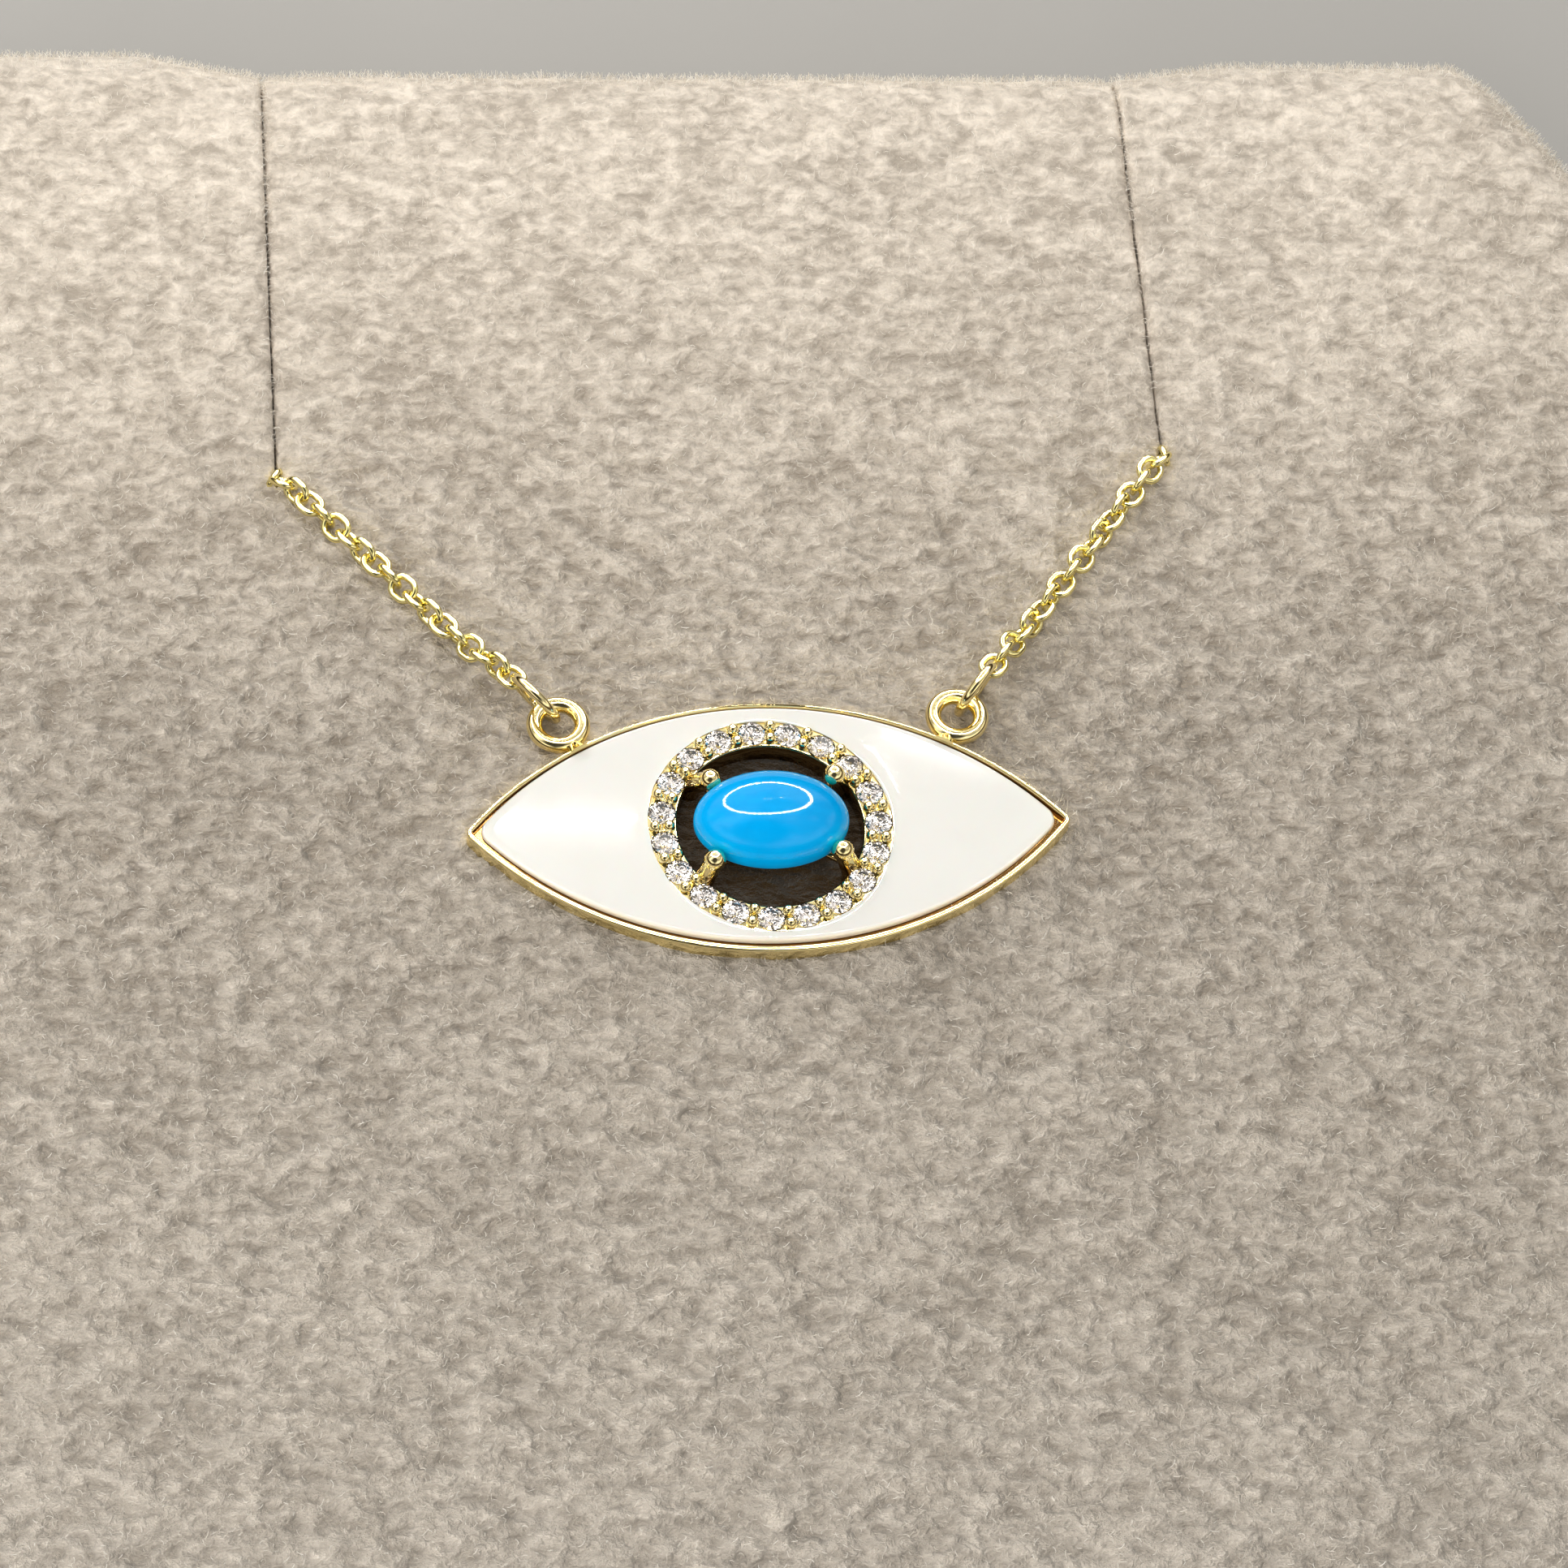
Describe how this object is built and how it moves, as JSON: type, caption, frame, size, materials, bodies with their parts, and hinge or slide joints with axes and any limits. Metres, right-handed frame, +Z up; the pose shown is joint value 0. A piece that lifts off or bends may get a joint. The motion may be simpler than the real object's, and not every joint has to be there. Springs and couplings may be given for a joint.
{
  "type": "eye pendant necklace on a display pad",
  "caption": "Eye-shaped gold pendant with white enamel, a halo of brilliants and a turquoise cabochon on a fine cable chain, laid on a slitted display pad.",
  "frame": {"origin": "centre of the display pad's flat underside", "axes": "+Z up out of the pad, +Y towards the pad's slitted end and the chain's far loop, +X to the right of the eye"},
  "size_m": [0.1022, 0.1837, 0.0132],
  "materials": {
    "gold": "polished yellow gold",
    "enamel": "glossy white enamel",
    "turquoise": "polished sky-blue turquoise",
    "brilliant": "clear faceted stone",
    "chain_gold": "polished yellow gold wire",
    "pad_suede": "warm grey napped suede"
  },
  "bodies": {
    "root": {"pendant_frame": "gold", "enamel": "enamel", "turquoise": "turquoise", "brilliant_01": "brilliant", "brilliant_02": "brilliant", "brilliant_03": "brilliant", "brilliant_04": "brilliant", "brilliant_05": "brilliant", "brilliant_06": "brilliant", "brilliant_07": "brilliant", "brilliant_08": "brilliant", "brilliant_09": "brilliant", "brilliant_10": "brilliant", "brilliant_11": "brilliant", "brilliant_12": "brilliant", "brilliant_13": "brilliant", "brilliant_14": "brilliant", "brilliant_15": "brilliant", "brilliant_16": "brilliant", "brilliant_17": "brilliant", "brilliant_18": "brilliant", "brilliant_19": "brilliant", "jump_ring_left": "gold", "jump_ring_right": "gold", "chain_front_left": "chain_gold", "chain_front_right": "chain_gold", "chain_back_left": "chain_gold", "chain_back_right": "chain_gold", "end_ring": "gold", "clasp": "gold", "display_pad": "pad_suede"}
  },
  "joints": []
}
